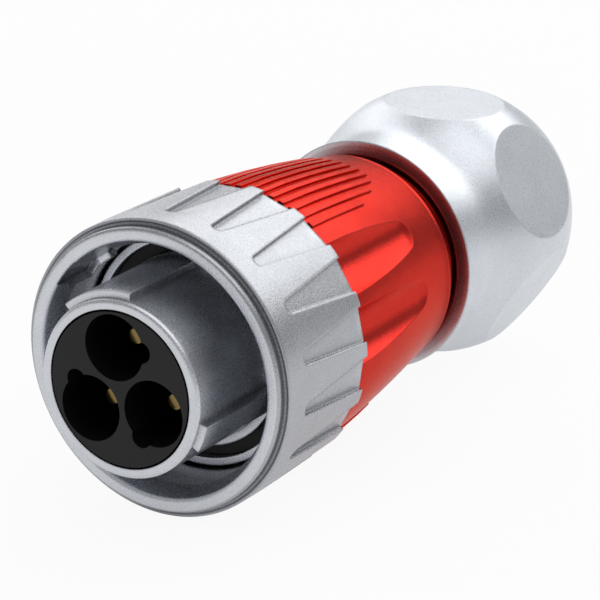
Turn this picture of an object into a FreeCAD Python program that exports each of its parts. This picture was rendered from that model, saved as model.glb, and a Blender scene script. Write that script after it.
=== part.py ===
"""Waterproof bayonet power connector, cable plug half, three pins.

The plug lies along Y. The origin is the centre of the mating face, at the nose's front,
and +Y runs back through the coupling ring and the red back shell to the gland nut.
A station is a distance along +Y from the mating face, and a bearing is an angle about
the plug's axis, from +Z towards +X. Lengths are in millimetres.
"""
import FreeCAD, Part
import math
import os

import Sketcher

SIZES = {
    # nose shell: the keyed nose, its flange and the barrel behind it
    "nose_radius": 10.9,
    "nose_wall": 1.2,
    "nose_rim_round": 0.5,
    "nose_reach": 7.3,
    "key_height": 0.9,
    "wide_key_setback": 0.8,
    "wide_key_bearing": -19.0,
    "wide_key_width": 48.0,
    "narrow_key_setback": 0.7,
    "narrow_key_bearing": 110.0,
    "narrow_key_width": 17.0,
    "shoulder_depth": 8.0,
    "shoulder_step": 1.0,
    "seat_groove_width": 1.6,
    "seat_groove_depth": 2.6,
    "face_seal_thickness": 1.2,
    "flange_wall": 0.9,
    "flange_length": 4.2,
    "barrel_step": 1.4,
    "barrel_length": 11.8,
    "insert_stop": 16.3,
    "barrel_wall": 2.0,
    # coupling ring with its grip scallops and bayonet track
    "ring_taper": 0.4,
    "ring_length": 18.1,
    "ring_lip_reach": 0.55,
    "ring_lip_wall": 1.65,
    "ring_lip_step": 0.85,
    "ring_cove_setback": 0.75,
    "ring_cove_width": 0.35,
    "ring_face_setback": 0.3,
    "ring_mouth_step": 1.0,
    "ring_lead_in": 2.75,
    "ring_flange_gap": 0.4,
    "ring_lip_round": 0.5,
    "ring_face_round": 0.2,
    "ring_rear_round": 0.35,
    "web_thickness": 2.0,
    "ring_spigot_gap": 0.4,
    "scallops": 18,
    "scallop_bearing": -2.0,
    "scallop_start": 4.0,
    "scallop_depth": 0.65,
    "scallop_tilt": 2.0,
    "scallop_tip_radius": 0.8,
    "scallop_tail_half_width": 2.35,
    "track_starts": 2,
    "track_spacing": 120.0,
    "track_bearing": -52.0,
    "track_width": 3.4,
    "track_entry_width": 15.0,
    "track_turn": 72.0,
    "track_rise": 2.4,
    "detent_height": 0.8,
    "detent_length": 1.4,
    "detent_width": 8.0,
    # spring and snap ring that carry the coupling ring
    "spring_gap": 1.7,
    "spring_thickness": 0.3,
    "spring_width": 1.0,
    "spring_wave": 0.45,
    "spring_waves": 4,
    "snap_thickness": 0.8,
    "snap_groove_depth": 0.6,
    "snap_ring_height": 1.9,
    "snap_ring_mouth": 40.0,
    # insulating inserts and contacts
    "insert_gap": 0.25,
    "insert_flange_gap": 0.1,
    "insert_flange": 4.0,
    "pin_circle": 5.1,
    "first_pin_bearing": -7.5,
    "cavity_radius": 4.05,
    "cavity_depth": 12.2,
    "notch_radius": 1.3,
    "notch_offset": 3.7,
    "notch_bearing": 95.0,
    "pin_radius": 1.75,
    "pin_stem_radius": 2.0,
    "pin_setback": 4.4,
    "pin_point": 0.8,
    "contact_collar_radius": 2.6,
    "contact_collar": 2.0,
    "contact_stem_radius": 2.3,
    "rear_insert_length": 6.0,
    "cup_radius": 2.7,
    "cup_length": 9.0,
    "cup_bore": 2.0,
    "cup_depth": 7.5,
    "cup_screw_radius": 1.25,
    "cup_screw_length": 2.2,
    "cup_screw_setback": 4.5,
    "clamp_ring_length": 2.8,
    "clamp_ring_wall": 2.25,
    "spanner_slot_angle": 16.0,
    # back shell
    "shell_spigot_wall": 1.85,
    "shell_front_wall": 3.92,
    "shell_flare_wall": 3.7,
    "shell_flare_length": 8.1,
    "shell_rear_height": 1.75,
    "shell_rear_length": 25.2,
    "shell_shoulder_round": 1.2,
    "shell_body_length": 26.6,
    "neck_drop": 1.0,
    "neck_groove": 0.4,
    "neck_groove_length": 2.0,
    "neck_length": 10.8,
    "seal_shelf": 1.75,
    "seal_land": 1.4,
    "neck_wall": 2.1,
    "claw_shelf": 1.4,
    "claw_shelf_length": 3.0,
    "chamber_taper": 4.0,
    "neck_bore_depth": 10.0,
    "flute_radius": 4.4,
    "flute_depth": 1.97,
    "flute_reach": 16.7,
    "flute_tilt": 1.3,
    "flute_bearing": 55.3,
    "flute_pitch": 29.0,
    "flutes_each_side": 2,
    "panel_bearing": -2.0,
    "panel_reach": 20.4,
    "panel_corner_from": 15.0,
    "panel_corner_angle": 22.3,
    "panel_corner_length": 12.0,
    "ribs": 15,
    "rib_pitch": 5.1,
    "rib_width": 2.6,
    "rib_height": 0.35,
    # cable gland
    "claw_flange": 1.2,
    "claw_cone_start": 0.7,
    "claw_tip_gap": 0.6,
    "claw_tip_drop": 0.05,
    "claw_wall": 1.6,
    "claw_flange_height": 1.9,
    "claw_slots": 8,
    "claw_slot_width": 1.1,
    "seal_length": 17.0,
    "seal_wall": 3.2,
    "washer_length": 3.6,
    "washer_mouth_gap": 0.75,
    "washer_squeeze": 1.15,
    # gland nut
    "nut_gap": 1.9,
    "nut_rim_wall": 2.7,
    "nut_skirt_wall": 2.34,
    "nut_skirt_length": 3.44,
    "nut_waist_wall": 2.57,
    "nut_waist_length": 3.64,
    "nut_belly_wall": 5.42,
    "nut_belly_length": 7.03,
    "nut_shoulder_wall": 4.15,
    "nut_shoulder_length": 9.4,
    "nut_end_wall_height": 1.55,
    "nut_end_length": 4.15,
    "nut_flat_wall": 3.33,
    "nut_apothem_station": 15.1,
    "nut_draft": 3.5,
    "nut_phase": 1.5,
    "nut_end_wall": 4.9,
    "nut_cable_gap": 2.0,
    "nut_mouth_chamfer": 0.9,
    # clearances
    "running_fit": 0.05,
    "thread_fit": 0.05,
    "loose_gap": 0.3,
    "seat_gap": 0.05,
}

doc = FreeCAD.newDocument("waterproof_connector")
sheet = doc.addObject("Spreadsheet::Sheet", "Sizes")
for row, (alias, number) in enumerate(SIZES.items(), start=1):
    sheet.set("A%d" % row, alias)
    sheet.set("B%d" % row, str(number))
    sheet.setAlias("B%d" % row, alias)
doc.recompute()


class Length:
    """A size together with the sheet expression that gives it."""

    def __init__(self, value, text):
        self.value = float(value)
        self.text = text

    def __add__(self, other):
        other = as_length(other)
        return Length(self.value + other.value, "(%s + %s)" % (self.text, other.text))

    def __sub__(self, other):
        other = as_length(other)
        return Length(self.value - other.value, "(%s - %s)" % (self.text, other.text))

    def __mul__(self, other):
        other = as_length(other)
        return Length(self.value * other.value, "(%s * %s)" % (self.text, other.text))

    def __neg__(self):
        return Length(-self.value, "(0 - %s)" % self.text)


def as_length(number):
    return number if isinstance(number, Length) else Length(number, repr(float(number)))


def of(alias):
    return Length(sheet.get(alias), "Sizes." + alias)


ZERO = as_length(0)

# Stations along the plug, from the mating face back
ring_front = of("nose_reach")
ring_mouth_at = ring_front - of("ring_lip_reach")
shoulder_at = ring_front + of("shoulder_depth")
groove_floor = shoulder_at + of("seat_groove_depth")
flange_rear = shoulder_at + of("flange_length")
web_front = flange_rear + of("spring_gap")
web_rear = web_front + of("web_thickness")
snap_front = web_rear + of("seat_gap")
snap_rear = snap_front + of("snap_thickness")
ring_rear = ring_front + of("ring_length")
barrel_rear = flange_rear + of("barrel_length")
spigot_front = snap_rear + of("loose_gap")
shell_front = ring_rear + of("loose_gap")
shell_body_rear = shell_front + of("shell_body_length")
neck_front = shell_body_rear
neck_rear = neck_front + of("neck_length")
insert_rear_front = of("insert_stop") + of("insert_flange") + of("seat_gap")
insert_rear_rear = insert_rear_front + of("rear_insert_length")
clamp_ring_front = insert_rear_rear + of("seat_gap")
chamber_front = barrel_rear + of("seal_land")
neck_bore_front = neck_rear - of("neck_bore_depth")
claw_shelf_front = neck_bore_front - of("claw_shelf_length")
claw_flange_front = neck_rear + of("seat_gap")
claw_flange_rear = claw_flange_front + of("claw_flange")
nut_front = shell_body_rear + of("nut_gap")
nut_skirt_rear = nut_front + of("nut_skirt_length")
nut_waist_rear = nut_skirt_rear + of("nut_waist_length")
nut_belly_rear = nut_waist_rear + of("nut_belly_length")
nut_shoulder_rear = nut_belly_rear + of("nut_shoulder_length")
nut_rear = nut_shoulder_rear + of("nut_end_length")
nut_bore_rear = nut_rear - of("nut_end_wall")
washer_rear = nut_bore_rear - of("seat_gap")
washer_front = washer_rear - of("washer_length")

# Radii that fit one another
seat_inner = of("nose_radius") + of("shoulder_step")
seat_outer = seat_inner + of("seat_groove_width")
flange_radius = seat_outer + of("flange_wall")
barrel_radius = flange_radius - of("barrel_step")
web_bore = barrel_radius + of("running_fit")
shell_thread_bore = barrel_radius + of("thread_fit")
neck_radius = barrel_radius - of("neck_drop")
neck_bore = neck_radius - of("neck_wall")
nut_thread_bore = neck_radius + of("thread_fit")
claw_outer = neck_bore - of("seat_gap")
claw_inner = claw_outer - of("claw_wall")
seal_radius = claw_inner - of("seat_gap")
cable_radius = seal_radius - of("seal_wall")
snap_groove_radius = barrel_radius - of("snap_groove_depth")
nose_bore = of("nose_radius") - of("nose_wall")
rear_bore = barrel_radius - of("barrel_wall")
insert_radius = nose_bore - of("insert_gap")
insert_flange_radius = rear_bore - of("insert_flange_gap")
clamp_ring_radius = rear_bore - of("seat_gap")
clamp_ring_bore = clamp_ring_radius - of("clamp_ring_wall")
spigot_radius = shell_thread_bore + of("shell_spigot_wall")
ring_bore = flange_radius + of("ring_flange_gap")
ring_mouth = ring_bore + of("ring_mouth_step")
ring_lip_radius = ring_mouth + of("ring_lip_wall")
ring_radius = ring_lip_radius + of("ring_lip_step")
ring_rear_radius = ring_radius - of("ring_taper")
ring_rear_bore = spigot_radius + of("ring_spigot_gap")
shell_front_radius = shell_thread_bore + of("shell_front_wall")
shell_flare_radius = shell_thread_bore + of("shell_flare_wall")
shell_rear_radius = neck_radius + of("shell_rear_height")
shell_chamber = shell_thread_bore - of("seal_shelf")
chamber_end_bore = neck_bore - of("claw_shelf")
washer_mouth = claw_outer + of("washer_mouth_gap")
washer_exit = claw_outer - of("washer_squeeze")
nut_cable_hole = cable_radius + of("nut_cable_gap")
nut_belly_radius = nut_thread_bore + of("nut_belly_wall")


def origin_feature(body, role):
    return next(f for f in body.Origin.OriginFeatures if f.Role == role)


def new_body(name):
    body = doc.addObject("PartDesign::Body", name)
    body.Label = name
    return body


def attach(sketch, body, plane, bearing=0.0, tilt=0.0, out=0.0, station=0.0):
    """Put a sketch on an origin plane turned to a bearing about the plug's axis."""
    turn = FreeCAD.Rotation(FreeCAD.Vector(0, 1, 0), bearing)
    lean = FreeCAD.Rotation(FreeCAD.Vector(1, 0, 0), -tilt)
    base = turn.multVec(FreeCAD.Vector(0, 0, out)) + FreeCAD.Vector(0, station, 0)
    sketch.AttachmentSupport = [(origin_feature(body, plane), "")]
    sketch.MapMode = "FlatFace"
    sketch.AttachmentOffset = FreeCAD.Placement(base, turn.multiply(lean))


def hold_point(sketch, edge, end, x, y):
    """Dimension one end of an edge from the sketch's origin."""
    for kind, size in (("DistanceX", x), ("DistanceY", y)):
        index = sketch.addConstraint(Sketcher.Constraint(kind, -1, 1, edge, end, size.value))
        sketch.setExpression("Constraints[%d]" % index, size.text)


def profile(body, name, points, bearing=90.0, curve=None):
    """A closed outline of (radius, station) points on the half plane at a bearing.

    A curve names the first and last of the points that shape one smooth flowing edge.
    """
    sketch = body.newObject("Sketcher::SketchObject", name)
    attach(sketch, body, "XY_Plane", bearing=bearing - 90.0)
    corners = [(as_length(x), as_length(y)) for x, y in points]
    at = [FreeCAD.Vector(x.value, y.value, 0) for x, y in corners]
    count = len(corners)
    starts = [i for i in range(count) if curve is None or not curve[0] < i < curve[1]]
    for i in starts:
        if curve is not None and i == curve[0]:
            sketch.addGeometry(flowing_edge(at[curve[0]:curve[1] + 1]))
        else:
            sketch.addGeometry(Part.LineSegment(at[i], at[(i + 1) % count]))
    for edge in range(len(starts)):
        follower = (edge + 1) % len(starts)
        sketch.addConstraint(Sketcher.Constraint("Coincident", edge, 2, follower, 1))
    for edge, i in enumerate(starts):
        hold_point(sketch, edge, 1, *corners[i])
    return sketch


def flowing_edge(poles):
    """A smooth edge pulled along by its poles, through the first and the last."""
    spans = len(poles) - 2
    knots = [float(i) for i in range(spans + 1)]
    mults = [3] + [1] * (spans - 1) + [3]
    edge = Part.BSplineCurve()
    edge.buildFromPolesMultsKnots(poles, mults, knots, False, 2)
    return edge


def turned(body, name, points, bearing=90.0, angle=None, cut=False, curve=None):
    """Revolve an outline about the plug's axis, all round or over an angle."""
    sketch = profile(body, name + "_profile", points, bearing, curve)
    kind = "PartDesign::Groove" if cut else "PartDesign::Revolution"
    feature = body.newObject(kind, name)
    feature.Profile = sketch
    feature.ReferenceAxis = (sketch, ["V_Axis"])
    feature.Angle = 360.0
    if angle is not None:
        feature.Midplane = True
        feature.setExpression("Angle", angle.text)
    return feature


def rectangle(inner, outer, front, rear):
    return [(inner, front), (outer, front), (outer, rear), (inner, rear)]


def hole(body, name, radius, x, z, station, length):
    """A round pocket that runs back along the plug's axis from a station."""
    sketch = body.newObject("Sketcher::SketchObject", name + "_profile")
    sketch.AttachmentSupport = [(origin_feature(body, "XZ_Plane"), "")]
    sketch.MapMode = "FlatFace"
    sketch.setExpression("AttachmentOffset.Base.z", (-as_length(station)).text)
    centre = FreeCAD.Vector(x.value, z.value, 0)
    sketch.addGeometry(Part.Circle(centre, FreeCAD.Vector(0, 0, 1), radius.value))
    index = sketch.addConstraint(Sketcher.Constraint("Radius", 0, radius.value))
    sketch.setExpression("Constraints[%d]" % index, radius.text)
    hold_point(sketch, 0, 3, x, z)
    pocket = body.newObject("PartDesign::Pocket", name)
    pocket.Profile = sketch
    pocket.Length = length.value
    pocket.setExpression("Length", length.text)
    return pocket


def around(body, name, originals, count, angle=360.0):
    """Repeat features about the plug's axis."""
    pattern = body.newObject("PartDesign::PolarPattern", name)
    pattern.Originals = originals
    pattern.Axis = (origin_feature(body, "Y_Axis"), [""])
    pattern.Angle = angle
    pattern.Occurrences = int(count)
    body.Tip = pattern
    return pattern


def polar(radius, bearing):
    """X and Z of a point at a radius and a bearing."""
    turn = math.radians(bearing.value)
    x = Length(radius.value * math.sin(turn), "(%s * sin(%s))" % (radius.text, bearing.text))
    z = Length(radius.value * math.cos(turn), "(%s * cos(%s))" % (radius.text, bearing.text))
    return x, z


def circle_edges(feature, radius, station):
    """Names of the full or part circles about the axis at a radius and a station."""
    names = []
    for index, edge in enumerate(feature.Shape.Edges, start=1):
        curve = edge.Curve
        if not isinstance(curve, Part.Circle):
            continue
        if abs(curve.Center.x) + abs(curve.Center.z) > 0.001:
            continue
        if abs(curve.Radius - radius.value) < 0.01 and abs(curve.Center.y - station.value) < 0.01:
            names.append("Edge%d" % index)
    return names


def rounded(body, name, feature, edges, radius):
    doc.recompute()
    fillet = body.newObject("PartDesign::Fillet", name)
    fillet.Base = (feature, [n for radius_at, at in edges for n in circle_edges(feature, radius_at, at)])
    fillet.setExpression("Radius", radius.text)
    return fillet


def make_nose_shell():
    """Keyed nose, seal groove, flange and threaded barrel, turned in one piece."""
    body = new_body("nose_shell")
    nose = of("nose_radius")
    shell = turned(body, "nose_and_barrel", [
        (nose_bore, ZERO),
        (nose, ZERO),
        (nose, shoulder_at),
        (seat_inner, shoulder_at),
        (seat_inner, groove_floor),
        (seat_outer, groove_floor),
        (seat_outer, shoulder_at),
        (flange_radius, shoulder_at),
        (flange_radius, flange_rear),
        (barrel_radius, flange_rear),
        (barrel_radius, snap_front),
        (snap_groove_radius, snap_front),
        (snap_groove_radius, snap_rear + of("seat_gap")),
        (barrel_radius, snap_rear + of("seat_gap")),
        (barrel_radius, barrel_rear),
        (rear_bore, barrel_rear),
        (rear_bore, of("insert_stop")),
        (nose_bore, of("insert_stop")),
    ])
    rounded(body, "rim_round", shell, [(nose, ZERO)], of("nose_rim_round"))
    root = nose - of("loose_gap")
    tip = nose + of("key_height")
    buried = shoulder_at + of("loose_gap")
    turned(body, "wide_key", rectangle(root, tip, of("wide_key_setback"), buried),
           of("wide_key_bearing").value, of("wide_key_width"))
    turned(body, "narrow_key", rectangle(root, tip, of("narrow_key_setback"), buried),
           of("narrow_key_bearing").value, of("narrow_key_width"))
    return body


def make_coupling_ring():
    """Bayonet coupling ring: lip, lead-in, track, web and grip scallops."""
    body = new_body("coupling_ring")
    face = ring_front + of("ring_face_setback")
    cove = ring_front + of("ring_cove_setback")
    lead_in_rear = ring_mouth_at + of("ring_lead_in")
    blank = turned(body, "ring_blank", [
        (ring_mouth, ring_mouth_at),
        (ring_lip_radius, ring_mouth_at),
        (ring_lip_radius, cove),
        (ring_lip_radius + of("ring_cove_width"), cove),
        (ring_radius, face),
        (ring_radius, ring_front + of("scallop_start")),
        (ring_rear_radius, ring_rear),
        (ring_rear_bore, ring_rear),
        (ring_rear_bore, web_rear),
        (web_bore, web_rear),
        (web_bore, web_front),
        (ring_bore, web_front),
        (ring_bore, lead_in_rear),
    ])
    rounded(body, "lip_round", blank, [
        (ring_lip_radius, ring_mouth_at),
        (ring_mouth, ring_mouth_at),
    ], of("ring_lip_round"))
    rounded(body, "face_round", body.Tip, [(ring_radius, face)], of("ring_face_round"))
    rounded(body, "rear_round", body.Tip, [(ring_rear_radius, ring_rear)], of("ring_rear_round"))
    track_radius = ring_mouth
    entry_rear = lead_in_rear + of("track_width")
    inside = ring_bore - of("loose_gap")
    entry = turned(body, "track_entry", rectangle(inside, track_radius, ring_mouth_at - 1, entry_rear),
                   of("track_bearing").value, of("track_entry_width"), cut=True)
    track = body.newObject("PartDesign::SubtractiveHelix", "track_ramp")
    track.Profile = profile(body, "track_ramp_profile",
                            rectangle(inside, track_radius, lead_in_rear, entry_rear),
                            of("track_bearing").value)
    track.ReferenceAxis = (track.Profile[0], ["V_Axis"])
    track.Mode = "height-turns-angle"
    track.setExpression("Height", of("track_rise").text)
    track.setExpression("Turns", "%s / 360" % of("track_turn").text)
    track.LeftHanded = False
    starts = of("track_starts").value
    around(body, "tracks", [entry, track], starts, of("track_spacing").value * (starts - 1))
    doc.recompute()
    detent_at = of("track_bearing").value + of("track_entry_width").value
    turned(body, "detent", rectangle(
        ring_bore - of("detent_height"), track_radius,
        lead_in_rear, lead_in_rear + of("detent_length")), detent_at, of("detent_width"))
    scallop = scallop_cut(body)
    around(body, "scallop_row", [scallop], of("scallops").value)
    return body


def scallop_cut(body):
    """One grip scallop: a rounded tip that widens and deepens to the ring's rear."""
    tip = of("scallop_tip_radius")
    half = of("scallop_tail_half_width")
    start = of("scallop_start")
    length = of("ring_length") - start
    sketch = body.newObject("Sketcher::SketchObject", "scallop_outline")
    attach(sketch, body, "XY_Plane", of("scallop_bearing").value, of("scallop_tilt").value,
           (ring_radius - of("scallop_depth")).value, (ring_front + start).value)
    top = FreeCAD.Vector(0, tip.value, 0)
    tail = length.value + 1.0
    sketch.addGeometry(Part.ArcOfCircle(Part.Circle(top, FreeCAD.Vector(0, 0, 1), tip.value),
                                        math.pi, 2 * math.pi))
    left = FreeCAD.Vector(-tip.value, tip.value, 0)
    right = FreeCAD.Vector(tip.value, tip.value, 0)
    left_tail = FreeCAD.Vector(-half.value, tail, 0)
    right_tail = FreeCAD.Vector(half.value, tail, 0)
    sketch.addGeometry(Part.LineSegment(right, right_tail))
    sketch.addGeometry(Part.LineSegment(right_tail, left_tail))
    sketch.addGeometry(Part.LineSegment(left_tail, left))
    for first, first_end, second, second_end in ((0, 2, 1, 1), (3, 2, 0, 1)):
        sketch.addConstraint(Sketcher.Constraint("Tangent", first, first_end, second, second_end))
    sketch.addConstraint(Sketcher.Constraint("Coincident", 1, 2, 2, 1))
    sketch.addConstraint(Sketcher.Constraint("Coincident", 2, 2, 3, 1))
    index = sketch.addConstraint(Sketcher.Constraint("Radius", 0, tip.value))
    sketch.setExpression("Constraints[%d]" % index, tip.text)
    hold_point(sketch, 0, 3, ZERO, tip)
    hold_point(sketch, 2, 1, half, length + 1)
    hold_point(sketch, 2, 2, -half, length + 1)
    pocket = body.newObject("PartDesign::Pocket", "scallop")
    pocket.Profile = sketch
    pocket.Reversed = True
    pocket.Length = ring_radius.value
    return pocket


def make_insert_front():
    """Insulator with the three contact cavities, seen at the mating face."""
    body = new_body("insert_front")
    stop = of("insert_stop")
    turned(body, "insert_blank", [
        (ZERO, ZERO),
        (insert_radius, ZERO),
        (insert_radius, stop),
        (insert_flange_radius, stop),
        (insert_flange_radius, stop + of("insert_flange")),
        (ZERO, stop + of("insert_flange")),
    ])
    x, z = polar(of("pin_circle"), of("first_pin_bearing"))
    cavity = hole(body, "cavity", of("cavity_radius"), x, z, ZERO, of("cavity_depth"))
    side = of("first_pin_bearing") + of("notch_bearing")
    dx, dz = polar(of("notch_offset"), side)
    notch = hole(body, "notch", of("notch_radius"), x + dx, z + dz, ZERO, of("cavity_depth"))
    stem = hole(body, "pin_hole", of("pin_stem_radius") + of("seat_gap"), x, z, ZERO,
                stop + of("insert_flange") + 1)
    seat = hole(body, "collar_seat", of("contact_collar_radius") + of("seat_gap"), x, z,
                stop + of("insert_flange") - of("contact_collar"), of("contact_collar") + 1)
    around(body, "cavities", [cavity, notch, stem, seat], 3)
    return body


def make_insert_rear():
    """Insulator that traps the contacts' collars from behind."""
    body = new_body("insert_rear")
    turned(body, "rear_blank", [
        (ZERO, insert_rear_front),
        (insert_flange_radius, insert_rear_front),
        (insert_flange_radius, insert_rear_rear),
        (ZERO, insert_rear_rear),
    ])
    x, z = polar(of("pin_circle"), of("first_pin_bearing"))
    stem = hole(body, "stem_hole", of("contact_stem_radius") + of("seat_gap"), x, z,
                insert_rear_front - 1, of("rear_insert_length") + 2)
    around(body, "stem_holes", [stem], 3)
    return body


def make_insert_clamp():
    """Threaded ring that clamps both inserts against the shell's stop."""
    body = new_body("insert_clamp_ring")
    rear = clamp_ring_front + of("clamp_ring_length")
    turned(body, "clamp_ring", rectangle(clamp_ring_bore, clamp_ring_radius, clamp_ring_front, rear))
    slot = turned(body, "spanner_slot", rectangle(clamp_ring_bore - 1, rear_bore + 1,
                                                  rear - 1, rear + 1), 90.0,
                  of("spanner_slot_angle"), cut=True)
    around(body, "spanner_slots", [slot], 2)
    return body


def make_contact(number):
    """Turned pin contact with a wire cup and a cross hole for its terminal screw."""
    body = new_body("contact_%d" % number)
    pin = of("pin_radius")
    tip = of("pin_setback")
    collar_front = of("insert_stop") + of("insert_flange") - of("contact_collar")
    collar_rear = collar_front + of("contact_collar")
    cup_front = insert_rear_rear + of("seat_gap")
    cup_rear = cup_front + of("cup_length")
    turned(body, "pin_and_cup", [
        (ZERO, tip),
        (pin - of("pin_point"), tip),
        (pin, tip + of("pin_point")),
        (pin, of("cavity_depth")),
        (of("pin_stem_radius"), of("cavity_depth")),
        (of("pin_stem_radius"), collar_front),
        (of("contact_collar_radius"), collar_front),
        (of("contact_collar_radius"), collar_rear),
        (of("contact_stem_radius"), collar_rear),
        (of("contact_stem_radius"), cup_front),
        (of("cup_radius"), cup_front),
        (of("cup_radius"), cup_rear),
        (of("cup_bore"), cup_rear),
        (of("cup_bore"), cup_rear - of("cup_depth")),
        (ZERO, cup_rear - of("cup_depth")),
    ])
    sketch = body.newObject("Sketcher::SketchObject", "screw_hole_profile")
    attach(sketch, body, "XY_Plane")
    screw = of("cup_screw_radius") + of("thread_fit")
    sketch.addGeometry(Part.Circle(FreeCAD.Vector(0, 0, 0), FreeCAD.Vector(0, 0, 1), screw.value))
    index = sketch.addConstraint(Sketcher.Constraint("Radius", 0, screw.value))
    sketch.setExpression("Constraints[%d]" % index, screw.text)
    hold_point(sketch, 0, 3, ZERO, cup_rear - of("cup_screw_setback"))
    pocket = body.newObject("PartDesign::Pocket", "screw_hole")
    pocket.Profile = sketch
    pocket.Reversed = True
    pocket.Length = (of("cup_radius") * 2).value
    place_at_pin(body, number)
    return body


def make_terminal_screw(number):
    """Slotted grub screw that clamps the wire in a contact's cup."""
    body = new_body("terminal_screw_%d" % number)
    station = insert_rear_rear + of("seat_gap") + of("cup_length") - of("cup_screw_setback")
    foot = of("cup_radius") - of("cup_screw_length")
    sketch = body.newObject("Sketcher::SketchObject", "screw_profile")
    attach(sketch, body, "XY_Plane", out=foot.value)
    screw = of("cup_screw_radius")
    sketch.addGeometry(Part.Circle(FreeCAD.Vector(0, 0, 0), FreeCAD.Vector(0, 0, 1), screw.value))
    index = sketch.addConstraint(Sketcher.Constraint("Radius", 0, screw.value))
    sketch.setExpression("Constraints[%d]" % index, screw.text)
    hold_point(sketch, 0, 3, ZERO, station)
    pad = body.newObject("PartDesign::Pad", "grub")
    pad.Profile = sketch
    pad.setExpression("Length", of("cup_screw_length").text)
    slot_sketch = body.newObject("Sketcher::SketchObject", "slot_profile")
    attach(slot_sketch, body, "XY_Plane", out=of("cup_radius").value)
    half_slot = 0.2
    corners = [FreeCAD.Vector(x, station.value + y, 0) for x, y in
               ((-2, -half_slot), (2, -half_slot), (2, half_slot), (-2, half_slot))]
    for i in range(4):
        slot_sketch.addGeometry(Part.LineSegment(corners[i], corners[(i + 1) % 4]))
    for i in range(4):
        slot_sketch.addConstraint(Sketcher.Constraint("Coincident", i, 2, (i + 1) % 4, 1))
    slot = body.newObject("PartDesign::Pocket", "slot")
    slot.Profile = slot_sketch
    slot.Length = 0.6
    place_at_pin(body, number)
    return body


def place_at_pin(body, number):
    """Move a piece from the axis to its pin position, turned to face outward."""
    bearing = of("first_pin_bearing") + 120 * (number - 1)
    x, z = polar(of("pin_circle"), bearing)
    body.Placement = FreeCAD.Placement(FreeCAD.Vector(x.value, 0, z.value),
                                       FreeCAD.Rotation(FreeCAD.Vector(0, 1, 0), bearing.value))
    body.setExpression("Placement.Base.x", x.text)
    body.setExpression("Placement.Base.z", z.text)


def make_simple_ring(name, inner, outer, front, rear):
    body = new_body(name)
    turned(body, name + "_section", rectangle(inner, outer, front, rear))
    return body


def make_wave_spring():
    """Wave washer between the flange and the coupling ring's web."""
    middle = (barrel_radius + flange_radius).value / 2
    station = (flange_rear + of("spring_gap") * 0.5).value - of("loose_gap").value / 4
    wave = of("spring_wave").value
    waves = int(of("spring_waves").value)
    steps = 12 * waves
    points = []
    for i in range(steps):
        turn = 2 * math.pi * i / steps
        points.append(FreeCAD.Vector(middle * math.sin(turn), station + wave * math.sin(waves * turn),
                                     middle * math.cos(turn)))
    curve = Part.BSplineCurve()
    curve.interpolate(points, PeriodicFlag=True)
    half_width = of("spring_width").value / 2
    half_thickness = of("spring_thickness").value / 2
    corners = [points[0] + FreeCAD.Vector(0, y, z) for z, y in (
        (-half_width, -half_thickness), (half_width, -half_thickness),
        (half_width, half_thickness), (-half_width, half_thickness))]
    section = Part.makePolygon(corners + corners[:1])
    sweep = Part.BRepOffsetAPI.MakePipeShell(Part.Wire(curve.toShape()))
    sweep.setBiNormalMode(FreeCAD.Vector(0, 1, 0))
    sweep.add(section)
    sweep.build()
    sweep.makeSolid()
    piece = doc.addObject("Part::Feature", "wave_spring")
    piece.Label = "wave_spring"
    piece.Shape = sweep.shape()
    return piece


def make_snap_ring():
    """Split ring in the barrel's groove, behind the coupling ring's web."""
    body = new_body("snap_ring")
    inner = snap_groove_radius + of("seat_gap")
    outer = snap_groove_radius + of("snap_ring_height")
    turned(body, "ring_section", rectangle(inner, outer, snap_front + of("seat_gap"), snap_rear))
    turned(body, "ring_mouth", rectangle(inner - 1, outer + 1, snap_front - 1, snap_rear + 1),
           180.0, of("snap_ring_mouth"), cut=True)
    return body


def make_back_shell():
    """Red back shell: fluted grip body, shoulder and threaded gland neck."""
    body = new_body("back_shell")
    groove_rear = neck_front + of("neck_groove_length")
    shell = turned(body, "shell_blank", [
        (shell_thread_bore, spigot_front),
        (spigot_radius, spigot_front),
        (spigot_radius, shell_front),
        (shell_front_radius, shell_front),
        (shell_flare_radius, shell_front + of("shell_flare_length")),
        (shell_rear_radius, shell_front + of("shell_rear_length")),
        (shell_rear_radius, shell_body_rear),
        (neck_radius - of("neck_groove"), shell_body_rear),
        (neck_radius - of("neck_groove"), groove_rear),
        (neck_radius, groove_rear),
        (neck_radius, neck_rear),
        (neck_bore, neck_rear),
        (neck_bore, neck_bore_front),
        (chamber_end_bore, neck_bore_front),
        (chamber_end_bore, claw_shelf_front),
        (shell_chamber, claw_shelf_front - of("chamber_taper")),
        (shell_chamber, chamber_front),
        (shell_thread_bore, chamber_front),
    ], curve=(3, 5))
    rounded(body, "shoulder_round", shell, [(shell_rear_radius, shell_body_rear)],
            of("shell_shoulder_round"))
    details = []
    for step in range(int(of("flutes_each_side").value)):
        bearing = of("flute_bearing").value + step * of("flute_pitch").value
        details.append(flute_cut(body, "flute_%d" % (step + 1), bearing))
    count = int(of("ribs").value)
    for index in range(count):
        off = of("rib_pitch").value * (index - (count - 1) / 2)
        details.append(grip_rib(body, "rib_%d" % (index + 1), off))
    around(body, "both_sides", details, 2)
    return body


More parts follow.
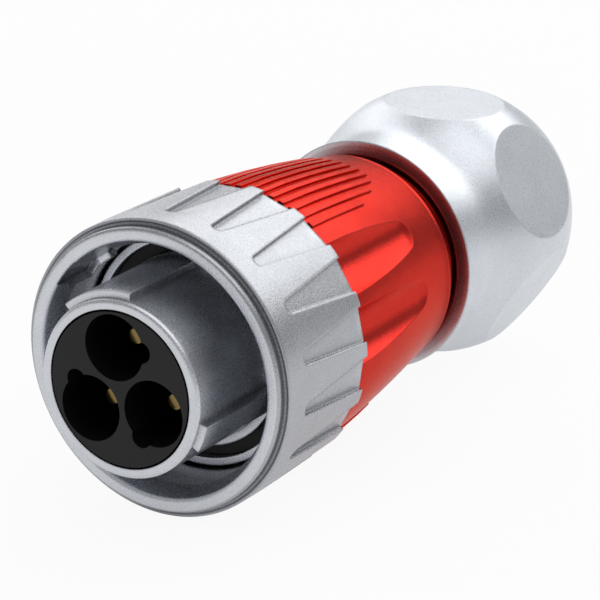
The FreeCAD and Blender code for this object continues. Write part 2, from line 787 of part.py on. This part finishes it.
def flute_cut(body, name, bearing):
    """A bullet-nosed scoop that runs back from the shell's front edge, leaning in a little."""
    radius = of("flute_radius")
    reach = of("flute_reach")
    turn = FreeCAD.Rotation(FreeCAD.Vector(0, 1, 0), bearing - 90)
    lean = FreeCAD.Rotation(FreeCAD.Vector(0, 0, 1), of("flute_tilt").value)
    away = (shell_front_radius - of("flute_depth") + radius).value
    sketch = body.newObject("Sketcher::SketchObject", name + "_outline")
    sketch.AttachmentSupport = [(origin_feature(body, "XY_Plane"), "")]
    sketch.MapMode = "FlatFace"
    start = turn.multVec(FreeCAD.Vector(away, 0, 0)) + FreeCAD.Vector(0, shell_front.value, 0)
    sketch.AttachmentOffset = FreeCAD.Placement(start, turn.multiply(lean))
    corners = [(ZERO, reach + radius), (ZERO, as_length(-1)), (radius, as_length(-1)), (radius, reach)]
    at = [FreeCAD.Vector(x.value, y.value, 0) for x, y in corners]
    for i in range(3):
        sketch.addGeometry(Part.LineSegment(at[i], at[i + 1]))
        hold_point(sketch, i, 1, *corners[i])
    hold_point(sketch, 2, 2, *corners[3])
    centre = FreeCAD.Vector(0, reach.value, 0)
    circle = Part.Circle(centre, FreeCAD.Vector(0, 0, 1), radius.value)
    sketch.addGeometry(Part.ArcOfCircle(circle, 0, math.pi / 2))
    for first, second in ((0, 1), (1, 2), (3, 0)):
        sketch.addConstraint(Sketcher.Constraint("Coincident", first, 2, second, 1))
    sketch.addConstraint(Sketcher.Constraint("Tangent", 2, 2, 3, 1))
    groove = body.newObject("PartDesign::Groove", name)
    groove.Profile = sketch
    groove.ReferenceAxis = (sketch, ["V_Axis"])
    groove.Angle = 360.0
    return groove


def shell_radius(along):
    """Radius of the shell's flowing side at a distance behind its front edge."""
    radii = [r.value for r in (shell_front_radius, shell_flare_radius, shell_rear_radius)]
    flare = of("shell_flare_length").value
    rear = of("shell_rear_length").value
    bend = rear - 2 * flare
    t = (math.sqrt(flare * flare + bend * along) - flare) / bend
    return (1 - t) ** 2 * radii[0] + 2 * t * (1 - t) * radii[1] + t * t * radii[2]


def grip_rib(body, name, off):
    """One fine rib of a grip panel, whose outer ribs end sooner round the panel's corner."""
    past = max(0.0, abs(off) - of("panel_corner_from").value) / of("panel_corner_angle").value
    short = of("panel_corner_length").value * (1 - math.sqrt(max(0.0, 1 - past * past)))
    length = of("panel_reach").value - short
    height = of("rib_height").value
    steps = 4
    stations = [length * i / steps for i in range(steps + 1)]
    outside = [(shell_radius(y) + height, shell_front + y) for y in stations]
    outside[-1] = (shell_radius(length) + height, shell_front + length - height)
    inside = [(shell_radius(y) - height, shell_front + y) for y in reversed(stations)]
    inside[0] = (shell_radius(length) - height, shell_front + length + height)
    return turned(body, name, outside + inside, of("panel_bearing").value + off, of("rib_width"))


def make_gland_claw():
    """Nylon claw: a flange on the neck's end and fingers that close on the seal."""
    body = new_body("gland_claw")
    flange = claw_outer + of("claw_flange_height")
    turned(body, "claw_blank", [
        (claw_inner, neck_bore_front + of("seat_gap")),
        (claw_outer, neck_bore_front + of("seat_gap")),
        (claw_outer, claw_flange_front),
        (flange, claw_flange_front),
        (flange, claw_flange_rear),
        (claw_outer, claw_flange_rear),
        (claw_outer, washer_front + of("claw_cone_start")),
        (washer_exit - of("claw_tip_drop"), washer_rear - of("claw_tip_gap")),
        (claw_inner, washer_rear - of("claw_tip_gap")),
    ])
    sketch = body.newObject("Sketcher::SketchObject", "finger_slot_profile")
    attach(sketch, body, "XY_Plane")
    half = of("claw_slot_width") * 0.5
    front = claw_flange_rear + 1
    rear = washer_rear + 5
    corners = [(-half, front), (half, front), (half, rear), (-half, rear)]
    at = [FreeCAD.Vector(x.value, y.value, 0) for x, y in corners]
    for i in range(4):
        sketch.addGeometry(Part.LineSegment(at[i], at[(i + 1) % 4]))
    for i in range(4):
        sketch.addConstraint(Sketcher.Constraint("Coincident", i, 2, (i + 1) % 4, 1))
    for i, (x, y) in enumerate(corners):
        hold_point(sketch, i, 1, x, y)
    slot = body.newObject("PartDesign::Pocket", "finger_slot")
    slot.Profile = sketch
    slot.Reversed = True
    slot.Length = (claw_outer * 3).value
    around(body, "finger_slots", [slot], of("claw_slots").value)
    return body


def make_friction_washer():
    """Cone-mouthed washer that slides back with the nut and closes the claw's fingers."""
    body = new_body("friction_washer")
    outer = nut_thread_bore - of("loose_gap")
    turned(body, "washer_section", [
        (washer_mouth, washer_front),
        (outer, washer_front),
        (outer, washer_rear),
        (washer_exit, washer_rear),
    ])
    return body


def make_gland_nut():
    """Hexagon gland nut: round skirt, flared corners, drafted flats and a domed rear."""
    body = new_body("gland_nut")
    mouth = nut_thread_bore + of("nut_mouth_chamfer")
    turned(body, "nut_blank", [
        (mouth, nut_front),
        (nut_thread_bore + of("nut_rim_wall"), nut_front),
        (nut_thread_bore + of("nut_skirt_wall"), nut_skirt_rear),
        (nut_thread_bore + of("nut_waist_wall"), nut_waist_rear),
        (nut_belly_radius, nut_belly_rear),
        (nut_thread_bore + of("nut_shoulder_wall"), nut_shoulder_rear),
        (nut_thread_bore + of("nut_end_wall_height"), nut_rear),
        (nut_cable_hole, nut_rear),
        (nut_cable_hole, nut_bore_rear),
        (nut_thread_bore, nut_bore_rear),
        (nut_thread_bore, nut_front + of("nut_mouth_chamfer")),
    ], curve=(1, 6))
    sketch = body.newObject("Sketcher::SketchObject", "flat_profile")
    attach(sketch, body, "XY_Plane", of("nut_phase").value, of("nut_draft").value,
           (nut_thread_bore + of("nut_flat_wall")).value, (nut_front + of("nut_apothem_station")).value)
    reach = (nut_belly_radius * 2).value
    corners = [FreeCAD.Vector(x, y, 0) for x, y in
               ((-reach, -reach), (reach, -reach), (reach, reach), (-reach, reach))]
    for i in range(4):
        sketch.addGeometry(Part.LineSegment(corners[i], corners[(i + 1) % 4]))
    for i in range(4):
        sketch.addConstraint(Sketcher.Constraint("Coincident", i, 2, (i + 1) % 4, 1))
    flat = body.newObject("PartDesign::Pocket", "flat")
    flat.Profile = sketch
    flat.Reversed = True
    flat.Length = nut_belly_radius.value
    around(body, "flats", [flat], 6)
    return body


def check_and_write(pieces):
    doc.recompute()
    for item in doc.Objects:
        if "Invalid" in item.State or "Error" in item.State:
            raise RuntimeError("%s failed: %s" % (item.Name, item.State))
    os.makedirs("parts", exist_ok=True)
    for piece in pieces:
        if piece.Shape.isNull() or not piece.Shape.isValid():
            raise RuntimeError("%s has no valid shape" % piece.Label)
        piece.Shape.exportStep("parts/%s.step" % piece.Label)
        print("%-20s solids %d volume %.1f" % (piece.Label, len(piece.Shape.Solids), piece.Shape.Volume))


pieces = [
    make_nose_shell(),
    make_coupling_ring(),
    make_insert_front(),
    make_insert_rear(),
    make_insert_clamp(),
    make_simple_ring("interface_seal", seat_inner + of("seat_gap"), seat_outer - of("seat_gap"),
                     groove_floor - of("face_seal_thickness"), groove_floor),
    make_wave_spring(),
    make_snap_ring(),
    make_back_shell(),
    make_simple_ring("shell_seal", shell_chamber + of("loose_gap"), shell_thread_bore - of("loose_gap"),
                     barrel_rear, chamber_front),
    make_gland_claw(),
    make_simple_ring("gland_seal", cable_radius, seal_radius,
                     neck_bore_front + of("seat_gap"), neck_bore_front + of("seal_length")),
    make_friction_washer(),
    make_gland_nut(),
]
for number in (1, 2, 3):
    pieces.append(make_contact(number))
    pieces.append(make_terminal_screw(number))
check_and_write(pieces)
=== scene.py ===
"""Looks of the waterproof connector: camera, studio, materials and fine detail."""

import bpy
from mathutils import Matrix, Vector


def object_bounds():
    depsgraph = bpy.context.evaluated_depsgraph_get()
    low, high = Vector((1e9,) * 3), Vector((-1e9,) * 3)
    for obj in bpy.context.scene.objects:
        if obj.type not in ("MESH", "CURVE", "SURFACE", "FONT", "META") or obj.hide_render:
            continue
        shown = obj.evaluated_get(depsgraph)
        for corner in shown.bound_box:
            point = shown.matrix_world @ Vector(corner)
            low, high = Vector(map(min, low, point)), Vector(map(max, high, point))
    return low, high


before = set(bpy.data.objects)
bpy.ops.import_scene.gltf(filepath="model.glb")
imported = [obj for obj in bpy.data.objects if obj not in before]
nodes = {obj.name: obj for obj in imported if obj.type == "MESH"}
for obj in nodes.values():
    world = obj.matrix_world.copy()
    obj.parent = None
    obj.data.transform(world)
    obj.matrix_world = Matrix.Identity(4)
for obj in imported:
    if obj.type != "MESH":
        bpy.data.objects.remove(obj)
cad_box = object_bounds()

# Places and sizes are in metres, lens and sensor in millimetres, power in watts
FLOOR_HEIGHT = cad_box[0][2]
FLOOR_SIZE = 6.0

CAMERA_PLACE = (0.264494, -0.375157, 0.183539)
CAMERA_RIGHT = (0.841996, 0.539578, 0.002467)
CAMERA_UP = (-0.191827, 0.295146, 0.936042)
CAMERA_BACK = (0.504235, -0.788537, 0.351986)
CAMERA_LENS = 257.989
CAMERA_SENSOR = 36.0
CAMERA_CLIP = (0.05, 20.0)

# Lamps aim at the middle of the body: place, width, height and power
LAMP_AIM = (0, 0.035, 0)
LAMPS = {
    "top": ((0.20, 0.00, 0.64), 0.80, 0.80, 2.0),
    "rear": ((0.05, 0.78, 0.50), 1.15, 0.44, 2.8),
    "left": ((-0.62, 0.42, 0.36), 0.60, 0.60, 1.2),
}

# Share of the floor's own glow for the camera and in reflections, and the room's strength
FLOOR_COLOUR = (0.85, 0.85, 0.85, 1)
FLOOR_ROUGHNESS = 0.9
FLOOR_GLOW_SEEN = 0.93
FLOOR_GLOW_MIRRORED = 0.55
ROOM_STRENGTH = 0.38
ROOM_STRENGTH_SEEN = 1.0

# Most of a noise's values lie in this range
NOISE_RANGE = (0.3, 0.7)

# Each colour is a pair that a slow or fine noise blends
PEARL = ((0.76, 0.782, 0.832), (0.82, 0.842, 0.892))
NUT_PEARL = ((0.78, 0.815, 0.87), (0.84, 0.875, 0.93))
RED = ((0.59, 0.018, 0.012), (0.67, 0.026, 0.017))
RED_GRAZING_TINT = (1.0, 0.45, 0.38, 1.0)
INSERT_BLACK = ((0.003, 0.003, 0.0036), (0.006, 0.006, 0.007))
NYLON_BLACK = ((0.035, 0.035, 0.038), (0.055, 0.055, 0.06))
GOLD = ((0.58, 0.40, 0.14), (0.70, 0.50, 0.21))
STEEL = ((0.45, 0.45, 0.46), (0.58, 0.58, 0.59))
RUBBER_BLACK = ((0.018, 0.018, 0.019), (0.035, 0.035, 0.036))

# Painted shade on one side of a radius, on the ring's outer grip and the nut's inner mouth face:
# where it is full, where it ends, and its dark share
RING_GRIP_PAINTED_SHADE = (0.01722, 0.01708, 0.70)
NUT_MOUTH_PAINTED_SHADE = (0.01405, 0.01425, 0.75)


# Camera, at the photograph's viewing angle

def make_camera():
    data = bpy.data.cameras.new("camera")
    data.sensor_width = CAMERA_SENSOR
    data.lens = CAMERA_LENS
    data.clip_start, data.clip_end = CAMERA_CLIP
    camera = bpy.data.objects.new("camera", data)
    axes = (Vector(CAMERA_RIGHT), Vector(CAMERA_UP), Vector(CAMERA_BACK))
    turn = Matrix(axes).transposed().to_4x4()
    camera.matrix_world = Matrix.Translation(Vector(CAMERA_PLACE)) @ turn
    bpy.context.collection.objects.link(camera)
    bpy.context.scene.camera = camera


# Node helpers

class Nodes:
    """A material with short calls to add and join nodes."""

    def __init__(self, name):
        self.material = bpy.data.materials.new(name)
        self.material.use_nodes = True
        self.tree = self.material.node_tree
        self.shader = self.tree.nodes["Principled BSDF"]
        self.coords = self.tree.nodes.new("ShaderNodeTexCoord").outputs["Object"]

    def add(self, kind, **settings):
        node = self.tree.nodes.new("ShaderNode" + kind)
        for key, value in settings.items():
            setattr(node, key, value)
        return node

    def join(self, out, socket):
        self.tree.links.new(out, socket)

    def set(self, **values):
        """Constants of the shader, with underscores for the spaces in socket names."""
        for key, value in values.items():
            self.shader.inputs[key.replace("_", " ")].default_value = value

    def noise(self, scale, detail, roughness, stretch=(1, 1, 1)):
        mapping = self.add("Mapping")
        mapping.inputs["Scale"].default_value = stretch
        self.join(self.coords, mapping.inputs["Vector"])
        node = self.add("TexNoise")
        node.inputs["Scale"].default_value = scale
        node.inputs["Detail"].default_value = detail
        node.inputs["Roughness"].default_value = roughness
        self.join(mapping.outputs["Vector"], node.inputs["Vector"])
        return node.outputs["Fac"]

    def ramp(self, value, low, high, out_low=0.0, out_high=1.0):
        node = self.add("MapRange", clamp=True)
        node.inputs["From Min"].default_value = low
        node.inputs["From Max"].default_value = high
        node.inputs["To Min"].default_value = out_low
        node.inputs["To Max"].default_value = out_high
        self.join(value, node.inputs["Value"])
        return node.outputs["Result"]

    def mix(self, noise, colours):
        """Blend a pair of colours by a noise."""
        first, second = colours
        node = self.add("Mix", data_type="RGBA")
        node.inputs["A"].default_value = (*first, 1)
        node.inputs["B"].default_value = (*second, 1)
        self.join(self.ramp(noise, *NOISE_RANGE), node.inputs["Factor"])
        return node.outputs["Result"]

    def shade(self, colour, factor, dark):
        """Multiply a colour down to a dark share where the factor is 0."""
        share = self.ramp(factor, 0, 1, dark, 1.0)
        node = self.add("Mix", data_type="RGBA", blend_type="MULTIPLY")
        node.inputs["Factor"].default_value = 1.0
        self.join(colour, node.inputs["A"])
        self.join(share, node.inputs["B"])
        return node.outputs["Result"]

    def painted_shade_mask(self, distance, low, high):
        """Mask for painted shade: 0 where other walls stand close, as in slots, coves and deep
        bores, and 1 in the open.
        """
        node = self.add("AmbientOcclusion", samples=8)
        node.inputs["Distance"].default_value = distance
        return self.ramp(node.outputs["AO"], low, high)

    def from_axis(self):
        """Distance from the plug's axis."""
        flat = self.add("VectorMath", operation="MULTIPLY")
        flat.inputs[1].default_value = (1, 0, 1)
        self.join(self.coords, flat.inputs[0])
        reach = self.add("VectorMath", operation="LENGTH")
        self.join(flat.outputs["Vector"], reach.inputs[0])
        return reach.outputs["Value"]

    def soft_edges(self, radius):
        node = self.add("Bevel", samples=6)
        node.inputs["Radius"].default_value = radius
        return node.outputs["Normal"]

    def bump(self, height, strength, distance, normal=None):
        node = self.add("Bump")
        node.inputs["Strength"].default_value = strength
        node.inputs["Distance"].default_value = distance
        self.join(height, node.inputs["Height"])
        if normal is not None:
            self.join(normal, node.inputs["Normal"])
        return node.outputs["Normal"]

    def done(self, base, noise, low_rough, high_rough, normal):
        """Join the base colour, a roughness that follows a noise, and the normal."""
        self.join(base, self.shader.inputs["Base Color"])
        rough = self.ramp(noise, *NOISE_RANGE, low_rough, high_rough)
        self.join(rough, self.shader.inputs["Roughness"])
        self.join(normal, self.shader.inputs["Normal"])
        return self.material


# Materials

def satin_silver(name, colours, rough, edge_radius, painted_shade_zone=None):
    """Pearl-plated metal, finely blasted, with painted shade in crevices and on one side of a
    radius.
    """
    m = Nodes(name)
    m.set(Metallic=1.0)
    grain = m.noise(scale=6400.0, detail=2.0, roughness=0.75)
    cloud = m.noise(scale=220.0, detail=3.0, roughness=0.6)
    base = m.mix(cloud, colours)
    base = m.shade(base, m.ramp(grain, 0.25, 0.75), dark=0.70)
    # Painted shade: the colour is darkened where walls stand close, in slots, coves and crevices
    base = m.shade(base, m.painted_shade_mask(0.0012, 0.35, 0.95), dark=0.55)
    # Painted shade on one side of a radius: the ring's outer grip is painted darker than its lip,
    # and the nut's inner mouth face is painted darker than its rim
    if painted_shade_zone:
        start, end, share = painted_shade_zone
        base = m.shade(base, m.ramp(m.from_axis(), start, end), dark=share)
    normal = m.bump(grain, 0.65, 0.00005, m.soft_edges(edge_radius))
    return m.done(base, grain, rough - 0.06, rough + 0.06, normal)


def satin_red():
    """Red anodised metal with a satin surface."""
    m = Nodes("satin_red")
    m.set(Metallic=1.0, Specular_Tint=RED_GRAZING_TINT, Coat_Weight=0.28, Coat_Roughness=0.35)
    grain = m.noise(scale=5200.0, detail=2.0, roughness=0.7)
    cloud = m.noise(scale=160.0, detail=3.0, roughness=0.6)
    base = m.mix(cloud, RED)
    base = m.shade(base, m.ramp(grain, 0.30, 0.62), dark=0.80)
    # Painted shade in grooves, coves and the gap at the nut, at a short and a long reach
    base = m.shade(base, m.painted_shade_mask(0.0008, 0.20, 0.80), dark=0.85)
    base = m.shade(base, m.painted_shade_mask(0.006, 0.05, 0.55), dark=0.75)
    normal = m.bump(grain, 0.6, 0.00004, m.soft_edges(0.0003))
    return m.done(base, grain, 0.18, 0.27, normal)


def moulded_plastic(name, colours, rough):
    m = Nodes(name)
    m.set(Specular_IOR_Level=0.32)
    grain = m.noise(scale=5000.0, detail=2.0, roughness=0.6)
    normal = m.bump(grain, 0.2, 0.00003, m.soft_edges(0.0001))
    return m.done(m.mix(grain, colours), grain, rough - 0.06, rough + 0.06, normal)


def turned_metal(name, colours, rough):
    """Turned and plated metal with faint tool rings across the axis, and painted shade in deep
    cavities.
    """
    m = Nodes(name)
    m.set(Metallic=1.0)
    rings = m.noise(scale=900.0, detail=2.0, roughness=0.6, stretch=(0.05, 6.0, 0.05))
    # Painted shade: the colour is darkened where walls stand close, as on the pins deep in the
    # insert's cavities
    base = m.shade(m.mix(rings, colours), m.painted_shade_mask(0.012, 0.25, 1.0), dark=0.12)
    normal = m.bump(rings, 0.15, 0.00002, m.soft_edges(0.0001))
    return m.done(base, rings, rough - 0.04, rough + 0.06, normal)


def moulded_rubber():
    m = Nodes("moulded_rubber")
    grain = m.noise(scale=3500.0, detail=3.0, roughness=0.6)
    return m.done(m.mix(grain, RUBBER_BLACK), grain, 0.55, 0.75, m.bump(grain, 0.3, 0.00004))


def dress(material, *names):
    for name in names:
        mesh = nodes[name].data
        mesh.materials.clear()
        mesh.materials.append(material)


def dress_pieces():
    dress(satin_silver("satin_silver", PEARL, 0.28, 0.0003), "nose_shell", "insert_clamp_ring")
    dress(satin_silver("ring_silver", PEARL, 0.28, 0.0005, RING_GRIP_PAINTED_SHADE), "coupling_ring")
    dress(satin_silver("nut_silver", NUT_PEARL, 0.31, 0.0004, NUT_MOUTH_PAINTED_SHADE), "gland_nut")
    dress(satin_red(), "back_shell")
    dress(moulded_plastic("insert_black", INSERT_BLACK, 0.40), "insert_front", "insert_rear")
    dress(moulded_plastic("nylon", NYLON_BLACK, 0.45), "gland_claw", "friction_washer")
    dress(turned_metal("gold_plate", GOLD, 0.12), "contact_1", "contact_2", "contact_3")
    dress(turned_metal("spring_steel", STEEL, 0.28),
          "terminal_screw_1", "terminal_screw_2", "terminal_screw_3", "wave_spring", "snap_ring")
    dress(moulded_rubber(), "interface_seal", "shell_seal", "gland_seal")


# Studio

def make_lamp(name, place, width, height, power):
    data = bpy.data.lights.new(name, "AREA")
    data.shape = "RECTANGLE"
    data.size = width
    data.size_y = height
    data.energy = power
    lamp = bpy.data.objects.new(name, data)
    lamp.location = place
    lamp.rotation_euler = (Vector(LAMP_AIM) - Vector(place)).to_track_quat("-Z", "Y").to_euler()
    bpy.context.collection.objects.link(lamp)


def make_floor():
    """A pale floor that glows near white for the camera and keeps the plug's shadow."""
    bpy.ops.mesh.primitive_plane_add(size=FLOOR_SIZE, location=(0, 0, FLOOR_HEIGHT))
    floor = bpy.context.object
    floor.name = "floor"
    material = bpy.data.materials.new("pale_floor")
    material.use_nodes = True
    tree = material.node_tree
    shader = tree.nodes["Principled BSDF"]
    shader.inputs["Base Color"].default_value = FLOOR_COLOUR
    shader.inputs["Roughness"].default_value = FLOOR_ROUGHNESS
    glow = tree.nodes.new("ShaderNodeEmission")
    path = tree.nodes.new("ShaderNodeLightPath")
    mixer = tree.nodes.new("ShaderNodeMixShader")
    output = tree.nodes["Material Output"]
    seen = tree.nodes.new("ShaderNodeMath")
    seen.operation = "MULTIPLY"
    seen.inputs[1].default_value = FLOOR_GLOW_SEEN
    mirrored = tree.nodes.new("ShaderNodeMath")
    mirrored.operation = "MULTIPLY_ADD"
    mirrored.inputs[1].default_value = FLOOR_GLOW_MIRRORED
    tree.links.new(path.outputs["Is Camera Ray"], seen.inputs[0])
    tree.links.new(path.outputs["Is Glossy Ray"], mirrored.inputs[0])
    tree.links.new(seen.outputs[0], mirrored.inputs[2])
    tree.links.new(mirrored.outputs[0], mixer.inputs["Fac"])
    tree.links.new(shader.outputs["BSDF"], mixer.inputs[1])
    tree.links.new(glow.outputs["Emission"], mixer.inputs[2])
    tree.links.new(mixer.outputs["Shader"], output.inputs["Surface"])
    floor.data.materials.append(material)


def make_world():
    """A dim white room that the camera sees as full white."""
    world = bpy.data.worlds.new("studio")
    bpy.context.scene.world = world
    world.use_nodes = True
    tree = world.node_tree
    back = tree.nodes["Background"]
    back.inputs["Color"].default_value = (1, 1, 1, 1)
    path = tree.nodes.new("ShaderNodeLightPath")
    strength = tree.nodes.new("ShaderNodeMapRange")
    strength.inputs["To Min"].default_value = ROOM_STRENGTH
    strength.inputs["To Max"].default_value = ROOM_STRENGTH_SEEN
    tree.links.new(path.outputs["Is Camera Ray"], strength.inputs["Value"])
    tree.links.new(strength.outputs["Result"], back.inputs["Strength"])


dress_pieces()
make_camera()
make_floor()
make_world()
for lamp_name, lamp in LAMPS.items():
    make_lamp(lamp_name, *lamp)

view = bpy.context.scene.view_settings
view.view_transform = "Standard"
